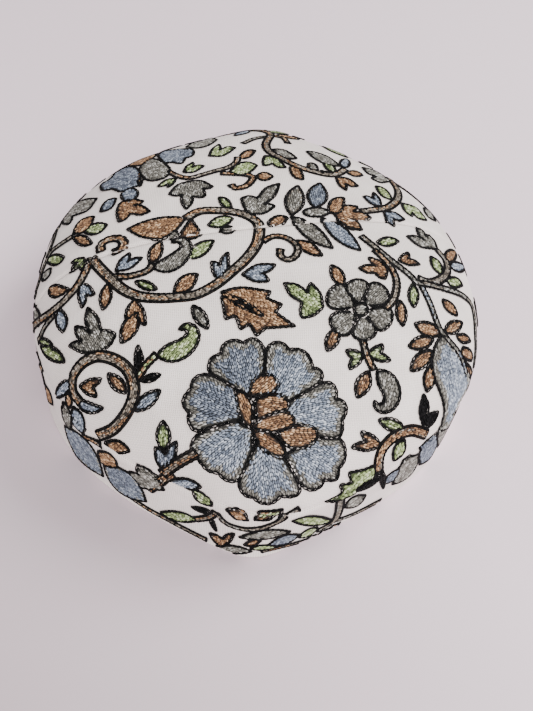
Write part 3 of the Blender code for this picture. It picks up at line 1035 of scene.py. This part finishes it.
# The same for the back of the crown, in millimetres on its plan
CROWN_BACK = (
    ("stem", "taupe+brown", ((8.6, 72.5), (8.4, 77), (5, 82), (-1, 86), (-8, 88.5)), 3.9),
    ("stem", "taupe+grey", ((-4, 62.5), (1.5, 68), (8.5, 71)), 3.0),
    ("stem", "taupe+brown", ((9, 72.5), (14, 71), (15.5, 64.5)), 3.0),
    ("leaf", "green", (42, 62), (33, 74.5), 0.38),
    ("leaf", "green", (8, 79), (18, 84), 0.45),
    ("leaf", "blue", (0, 84), (-7, 75), 0.45),
    ("leaf", "brown", (11, 74), (22, 75), 0.42),
    ("stem", "taupe+brown", ((58.5, 46), (62, 45.5), (66, 43.5), (70, 40)), 3.6),
)


def vine_round(first, last, height, swing, step, words):
    """Rows for a waving vine with a leaf or a cluster on each bend, along a side of the cap that the
    photograph hides. All in millimetres: where it starts and ends round the cap, its height, how far
    it waves, and the length of one bend."""

    def wave(run):
        return height + swing * sin(pi * (run - first) / step)

    rows = [("stem", "taupe+brown",
             tuple((first + i * step / 4, wave(first + i * step / 4))
                   for i in range(int((last - first) / step * 4) + 1)), 3.9)]
    for index in range(int((last - first) / step)):
        run = first + (index + 0.5) * step
        way = 1 if index % 2 else -1
        word = words[index % len(words)]
        inner = wave(run) + way * 1.8
        far = wave(run) + way * swing * 1.75
        if index % 3 == 2:
            tips = ((run - 7.0, far - way * 3.0), (run - 0.5, far + way * 1.0),
                    (run + 7.0, far - way * 3.5))
            rows.append(("lobes", word, (run, inner), tips))
        else:
            other = words[(index + 2) % len(words)]
            rows.append(("leaf", word, (run - 1.5, inner), (run - 9.0, far - way * 1.5), 0.44))
            rows.append(("leaf", other, (run + 1.5, inner), (run + 9.5, far), 0.44))
        if index % 2:
            next_word = words[(index + 1) % len(words)]
            rows.append(("leaf", next_word, (run - 3, wave(run) - way * 2.0),
                         (run + 4.5, wave(run) - way * swing * 1.15), 0.46))
    return tuple(rows)


BAND_ROUND = vine_round(-38.0, 306.0, 16.5, 6.0, 21.5,
                        ("blue", "brown", "green", "grey+blue", "brown"))
CROWN_ROUND = vine_round(34.0, 236.0, 47.0, 6.5, 25.0, ("green", "blue", "brown", "grey", "brown"))

MAKERS = {"leaf": leaf, "lobes": lobes, "outline": draw, "flower": flower, "stem": stem,
          "paisley": paisley}


def scatter_leaves(work, words, tries=6000):
    """Small leaves and three-lobed ones in the bare places that the photograph hides."""
    spots = [spot for cell in work.cells.values() for spot, _ in cell]
    near = KDTree(len(spots))
    for index, spot in enumerate(spots):
        near.insert(spot, index)
    near.balance()
    taken = []
    for _ in range(tries):
        hit = turned(chance.uniform(0, 2 * pi) * TURN_RADIUS, chance.uniform(*SCATTER_HEIGHTS))
        if hit is None or hit[1].dot(EYE - hit[0]) > FACING:
            continue
        point = hit[0]
        room = min([near.find(point)[2]]
                   + [(other - point).length - reach for other, reach in taken])
        panel = panel_of(point)
        if room < LEAST_ROOM or point.z < LOWEST_LEAF or panel is None or any(
                panel_of(point + Vector((0, 0, SEAM_ROOM * way))) != panel for way in (-1, 1)):
            continue
        size = min(room, MOST_ROOM) * 1000 - LEAF_MARGIN
        taken.append((point, size / 1000))
        turn = chance.uniform(0, 2 * pi)
        place = Ground([hit], Vector((cos(turn), sin(turn), chance.uniform(-0.5, 0.5))))
        word = words[len(taken) % len(words)]

        def at(x, y):
            return place.hit(x / 1000, y / 1000)

        if size > LOBED_FROM:
            lobes(work, at, word, (-size * 0.8, 0), ((size * 0.3, size * 0.75), (size, 0),
                                                     (size * 0.3, -size * 0.75)), 0.56)
        else:
            leaf(work, at, word, (-size, 0), (size, 0), 0.46)


def embroider(work, rows, at):
    """Work every row of a table in its order; earlier rows lie on top."""
    for kind, word, *rest in rows:
        MAKERS[kind](work, at, word, *rest)


# Finishes

def new_material(name):
    material = bpy.data.materials.new(name)
    material.use_nodes = True
    return material, material.node_tree.nodes, material.node_tree.links


def ramp(nodes, stops):
    node = nodes.new("ShaderNodeValToRGB")
    while len(node.color_ramp.elements) < len(stops):
        node.color_ramp.elements.new(0.5)
    for element, (place, colour) in zip(node.color_ramp.elements, stops):
        element.position = place
        element.color = (*colour, 1.0)
    return node


def noise_node(nodes, scale, detail, rough=0.5):
    node = nodes.new("ShaderNodeTexNoise")
    node.inputs["Scale"].default_value = scale
    node.inputs["Detail"].default_value = detail
    node.inputs["Roughness"].default_value = rough
    return node


def set_inputs(node, values):
    for name, value in values.items():
        node.inputs[name].default_value = value


def bump_node(nodes, strength, distance):
    node = nodes.new("ShaderNodeBump")
    set_inputs(node, {"Strength": strength, "Distance": distance})
    return node


# Sockets of the mix node for colours
MIX_A, MIX_B, MIX_RESULT = 6, 7, 2


def white_cotton():
    """Bleached plain-woven cotton, faintly mottled, with a weave that follows the cloth and painted
    shade in the weave's valleys.
    """
    material, nodes, links = new_material("white_cotton")
    shader = nodes["Principled BSDF"]
    place = nodes.new("ShaderNodeTexCoord")
    mottle = noise_node(nodes, 70, 4)
    links.new(place.outputs["Object"], mottle.inputs["Vector"])
    tint = ramp(nodes, ((0.3, (0.73, 0.664, 0.628)), (0.7, (0.87, 0.795, 0.757))))
    links.new(mottle.outputs["Fac"], tint.inputs["Fac"])
    weave = nodes.new("ShaderNodeUVMap")
    weave.uv_map = "weave"
    waves = []
    for direction in ("X", "Y"):
        wave = nodes.new("ShaderNodeTexWave")
        wave.wave_type = "BANDS"
        wave.bands_direction = direction
        set_inputs(wave, {"Scale": 400, "Distortion": 1.2, "Detail": 1, "Detail Scale": 0.3})
        links.new(weave.outputs["UV"], wave.inputs["Vector"])
        waves.append(wave)
    both = nodes.new("ShaderNodeMath")
    both.operation = "MAXIMUM"
    for index, wave in enumerate(waves):
        links.new(wave.outputs["Fac"], both.inputs[index])
    # Painted shade: the valleys of the weave are darkened in colour, down to about 0.72
    between = ramp(nodes, ((0.15, (0.72, 0.71, 0.70)), (0.75, (1.0, 1.0, 1.0))))
    links.new(both.outputs[0], between.inputs["Fac"])
    woven = nodes.new("ShaderNodeMix")
    woven.data_type = "RGBA"
    woven.blend_type = "MULTIPLY"
    woven.inputs["Factor"].default_value = 1.0
    links.new(tint.outputs["Color"], woven.inputs[MIX_A])
    links.new(between.outputs["Color"], woven.inputs[MIX_B])
    links.new(woven.outputs[MIX_RESULT], shader.inputs["Base Color"])
    bump = bump_node(nodes, 0.6, 0.00018)
    links.new(both.outputs[0], bump.inputs["Height"])
    creases = noise_node(nodes, 160, 3)
    links.new(place.outputs["Object"], creases.inputs["Vector"])
    soft = bump_node(nodes, 0.35, 0.0006)
    links.new(creases.outputs["Fac"], soft.inputs["Height"])
    links.new(bump.outputs["Normal"], soft.inputs["Normal"])
    links.new(soft.outputs["Normal"], shader.inputs["Normal"])
    set_inputs(shader, {"Roughness": 0.88, "Sheen Weight": 0.15, "Sheen Roughness": 0.5})
    return material


def dyed_thread(name, deep, plain, light, roughness=0.62, gloss=0.3):
    """Twisted thread: each stitch has its own tone, from deep to light, and its own fibres. The light
    end of the tones is partly painted sheen highlight, the dark tiles under the fills painted shade.
    """
    material, nodes, links = new_material(name)
    shader = nodes["Principled BSDF"]
    tone = nodes.new("ShaderNodeAttribute")
    tone.attribute_name = "tone"
    place = nodes.new("ShaderNodeTexCoord")
    drift = noise_node(nodes, 260, 2)
    links.new(place.outputs["Object"], drift.inputs["Vector"])
    mixed = nodes.new("ShaderNodeMath")
    mixed.operation = "MULTIPLY_ADD"
    mixed.inputs[1].default_value = 0.42
    links.new(drift.outputs["Fac"], mixed.inputs[0])
    links.new(tone.outputs["Fac"], mixed.inputs[2])
    # Painted shade: the darkest stop, 0.22 of the deep colour, is what the tiles under the fills take
    shade = tuple(v * 0.22 for v in deep)
    # The light stop is partly painted sheen highlight on single stitches, beside the thread's own
    # random tone
    colour = ramp(nodes, ((0.0, shade), (0.2, deep), (0.62, plain), (1.0, light)))
    links.new(mixed.outputs[0], colour.inputs["Fac"])
    links.new(colour.outputs["Color"], shader.inputs["Base Color"])
    fibres = noise_node(nodes, 2600, 2, 0.6)
    links.new(place.outputs["Object"], fibres.inputs["Vector"])
    bump = bump_node(nodes, 0.5, 0.00008)
    links.new(fibres.outputs["Fac"], bump.inputs["Height"])
    links.new(bump.outputs["Normal"], shader.inputs["Normal"])
    set_inputs(shader, {"Roughness": roughness, "Specular IOR Level": gloss})
    return material


# Building

def loop_template():
    """One chain stitch: a teardrop of thread, round ahead and drawn together behind."""
    bm = bmesh.new()
    around, sides = 9, 3
    grid = bmesh.ops.create_grid(bm, x_segments=around, y_segments=sides, size=0.5)
    long, wide, thick = LOOP_PITCH * 0.66, LOOP_WIDTH / 2 - OUTLINE_THREAD / 2, OUTLINE_THREAD / 2
    for vert in grid["verts"]:
        turn, twist = (vert.co.x + 0.5) * 2 * pi, (vert.co.y + 0.5) * 2 * pi
        pinch = 0.35 + 0.65 * (0.5 + 0.5 * cos(turn)) ** 0.5
        x = cos(turn) * (long - thick * 0.6) + thick * cos(turn) * cos(twist)
        y = sin(turn) * wide * pinch + thick * sin(turn) * cos(twist)
        vert.co = Vector((x, y, thick * sin(twist) + thick * 0.5))
    return finished_template(bm)


def grain_template():
    """One fill stitch: a plump grain of thread."""
    bm = bmesh.new()
    bmesh.ops.create_icosphere(bm, subdivisions=1, radius=1.0)
    for vert in bm.verts:
        x, y, z = vert.co
        vert.co = Vector((x * FILL_PITCH * 0.60, y * FILL_ROW * 0.5,
                          z * FILL_HEIGHT * 0.62 + FILL_HEIGHT * 0.25))
    return finished_template(bm)


def tile_template():
    """One dark patch under the stitches; under a fill it is painted shade in the gaps between them."""
    bm = bmesh.new()
    bmesh.ops.create_grid(bm, x_segments=1, y_segments=1, size=TILE * 0.56)
    return finished_template(bm)


def finished_template(bm):
    """Its points and its triangles, as arrays."""
    bmesh.ops.remove_doubles(bm, verts=bm.verts[:], dist=1e-7)
    bmesh.ops.recalc_face_normals(bm, faces=bm.faces[:])
    bmesh.ops.triangulate(bm, faces=bm.faces[:])
    bm.verts.index_update()
    points = np.array([vert.co[:] for vert in bm.verts])
    faces = np.array([[vert.index for vert in face.verts] for face in bm.faces])
    bm.free()
    return points, faces


TEMPLATES = {"loop": loop_template(), "grain": grain_template(), "tile": tile_template()}
# A stitch's tone differs at random over TONE_RANGE; its lighter tones are partly painted sheen
# highlights
# The tiles take the painted shade end of each thread's colours
TILE_SHADE_TONE, STITCH_TONE, TONE_RANGE = -0.2, 0.3, 0.35


def stitches_piece(name, stitches, material):
    """All stitches of one thread on one piece of cloth, joined into one mesh."""
    all_points, all_faces, all_tones, base = [], [], [], 0
    for kind, (points, faces) in TEMPLATES.items():
        chosen = [stitch for stitch in stitches if stitch[0] == kind]
        if not chosen:
            continue
        places = np.array([stitch[1][:] for stitch in chosen])
        axes = np.array([[stitch[2][:], stitch[3][:], stitch[4][:]] for stitch in chosen])
        made = np.einsum("nk,skj->snj", points, axes) + places[:, None, :]
        count = len(points)
        offsets = base + np.arange(len(chosen)) * count
        all_points.append(made.reshape(-1, 3))
        all_faces.append((faces[None] + offsets[:, None, None]).reshape(-1, 3))
        tones = np.array([TILE_SHADE_TONE if kind == "tile" else STITCH_TONE + TONE_RANGE * stitch[5]
                          for stitch in chosen])
        all_tones.append(np.repeat(tones, count))
        base += len(chosen) * count
    mesh = bpy.data.meshes.new(name)
    mesh.from_pydata(np.concatenate(all_points).tolist(), [], np.concatenate(all_faces).tolist())
    mesh.shade_smooth()
    tone = mesh.attributes.new("tone", "FLOAT", "POINT")
    tone.data.foreach_set("value", np.concatenate(all_tones).astype(np.float32))
    return dress(name, mesh, material)


def dress(name, mesh, material):
    mesh.materials.append(material)
    piece = bpy.data.objects.new(name, mesh)
    bpy.context.scene.collection.objects.link(piece)
    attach(piece, "root")
    return piece


def cloth_piece(name, bm, node, material):
    """One finished piece of cloth in its CAD node's place; also gives the skin to stitch on."""
    lay_out_weave(bm)
    bmesh.ops.translate(bm, vec=-PLAN_MIDDLE, verts=bm.verts[:])
    skin = BVHTree.FromBMesh(bm)
    mesh = bpy.data.meshes.new(name)
    bm.to_mesh(mesh)
    bm.free()
    mesh.shade_smooth()
    mesh.set_sharp_from_angle(angle=radians(50))
    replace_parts(dress(name, mesh, material), node)
    return skin


cotton = white_cotton()
skins = {
    "front": cloth_piece("crown_front_cloth", crown_cloth(-1), "crown_front_panel", cotton),
    "back": cloth_piece("crown_back_cloth", crown_cloth(1), "crown_back_panel", cotton),
    "band": cloth_piece("side_band_cloth", band_cloth(), "side_band", cotton),
}

work = Work(skins)
embroider(work, FRONT, seen)
embroider(work, BACK, seen)
embroider(work, BAND, seen)
embroider(work, CROWN_BACK, over_top)
embroider(work, CROWN_ROUND, turned)
embroider(work, BAND_ROUND, turned)
scatter_leaves(work, ("green", "brown", "grey", "blue", "brown"))

# Name, colours from deep to light, the light ones partly painted sheen highlight, and for black its
# roughness and gloss
THREAD_LOOKS = {
    "black": ("black_thread", (0.001, 0.001, 0.0015), (0.003, 0.003, 0.0035),
              (0.012, 0.011, 0.012), 0.8, 0.12),
    "blue": ("light_blue_thread", (0.11, 0.135, 0.18), (0.27, 0.31, 0.375), (0.62, 0.68, 0.765)),
    # Painted shade: this thread is the light blue one darkened to about 0.6, for blue motifs that lie
    # in shade
    "slate": ("blue_thread_painted_shade", (0.06, 0.073, 0.10), (0.16, 0.188, 0.24), (0.43, 0.475, 0.545)),
    "brown": ("copper_brown_thread", (0.10, 0.05, 0.026), (0.305, 0.168, 0.082), (0.72, 0.50, 0.31)),
    "green": ("leaf_green_thread", (0.10, 0.14, 0.05), (0.33, 0.41, 0.18), (0.78, 0.83, 0.62)),
    "taupe": ("taupe_brown_thread", (0.08, 0.066, 0.052), (0.20, 0.17, 0.135), (0.49, 0.43, 0.365)),
    "grey": ("taupe_grey_thread", (0.08, 0.076, 0.066), (0.20, 0.192, 0.168), (0.64, 0.63, 0.60)),
}
THREADS = {word: dyed_thread(*look) for word, look in THREAD_LOOKS.items()}
for (panel, thread), stitches in sorted(work.laid.items()):
    stitches_piece(f"{panel}_{thread}_stitches", stitches, THREADS[thread])


# Floor, light and camera

# Painted shadow on the floor, a soft dark patch to the cap's left and front: where it is strongest, how
# fast it falls away, and its two colours, the floor's own and the painted shadow's
PAINTED_SHADOW_SHIFT, PAINTED_SHADOW_SCALE = (0.60, 0.80, 0.0), 3.33
FLOOR_FAR, FLOOR_PAINTED_SHADOW = (0.79, 0.665, 0.73), (0.37, 0.31, 0.33)

# Name, place, size, power and colour
LIGHTS = (
    ("window", (0.85, 0.15, 0.95), 0.8, 19.0, (1.0, 0.985, 0.97)),
    ("room", (0.15, -1.3, 0.75), 1.4, 30.0, (1.0, 0.975, 0.96)),
)


def studio_floor():
    bm = bmesh.new()
    bmesh.ops.create_grid(bm, x_segments=1, y_segments=1, size=3.0)
    mesh = bpy.data.meshes.new("floor")
    bm.to_mesh(mesh)
    bm.free()
    material, nodes, links = new_material("pale_floor_painted_shadow")
    shader = nodes["Principled BSDF"]
    place = nodes.new("ShaderNodeTexCoord")
    spread = nodes.new("ShaderNodeMapping")
    set_inputs(spread, {"Location": PAINTED_SHADOW_SHIFT, "Scale": (PAINTED_SHADOW_SCALE,) * 3})
    links.new(place.outputs["Object"], spread.inputs["Vector"])
    # Painted shadow: the floor's colour darkens towards a point to the cap's left and front
    away = nodes.new("ShaderNodeTexGradient")
    away.gradient_type = "SPHERICAL"
    links.new(spread.outputs["Vector"], away.inputs["Vector"])
    tint = ramp(nodes, ((0.0, FLOOR_FAR), (0.8, FLOOR_PAINTED_SHADOW)))
    links.new(away.outputs["Fac"], tint.inputs["Fac"])
    links.new(tint.outputs["Color"], shader.inputs["Base Color"])
    set_inputs(shader, {"Roughness": 0.9, "Specular IOR Level": 0.2})
    mesh.materials.append(material)
    floor = bpy.data.objects.new("floor", mesh)
    bpy.context.scene.collection.objects.link(floor)


def area_light(name, place, size, power, colour):
    light = bpy.data.lights.new(name, "AREA")
    light.shape = "DISK"
    light.size = size
    light.energy = power
    light.color = colour
    lamp = bpy.data.objects.new(name, light)
    lamp.location = place
    lamp.rotation_euler = (LOOK_AT - Vector(place)).to_track_quat("-Z", "Y").to_euler()
    bpy.context.scene.collection.objects.link(lamp)


def studio():
    world = bpy.data.worlds.new("studio")
    world.use_nodes = True
    background = world.node_tree.nodes["Background"]
    set_inputs(background, {"Color": (1.0, 0.965, 0.975, 1.0), "Strength": 0.82})
    bpy.context.scene.world = world
    for light in LIGHTS:
        area_light(*light)


def photograph_camera():
    camera = bpy.data.cameras.new("camera")
    camera.sensor_width = SENSOR
    camera.lens = FOCAL_PIXELS / FRAME_HEIGHT * SENSOR
    camera.clip_start = 0.01
    holder = bpy.data.objects.new("camera", camera)
    turn = Matrix((EYE_RIGHT, EYE_UP, EYE_BACK)).transposed().to_4x4()
    holder.matrix_world = Matrix.Translation(EYE) @ turn
    bpy.context.scene.collection.objects.link(holder)
    bpy.context.scene.camera = holder


studio_floor()
studio()
photograph_camera()
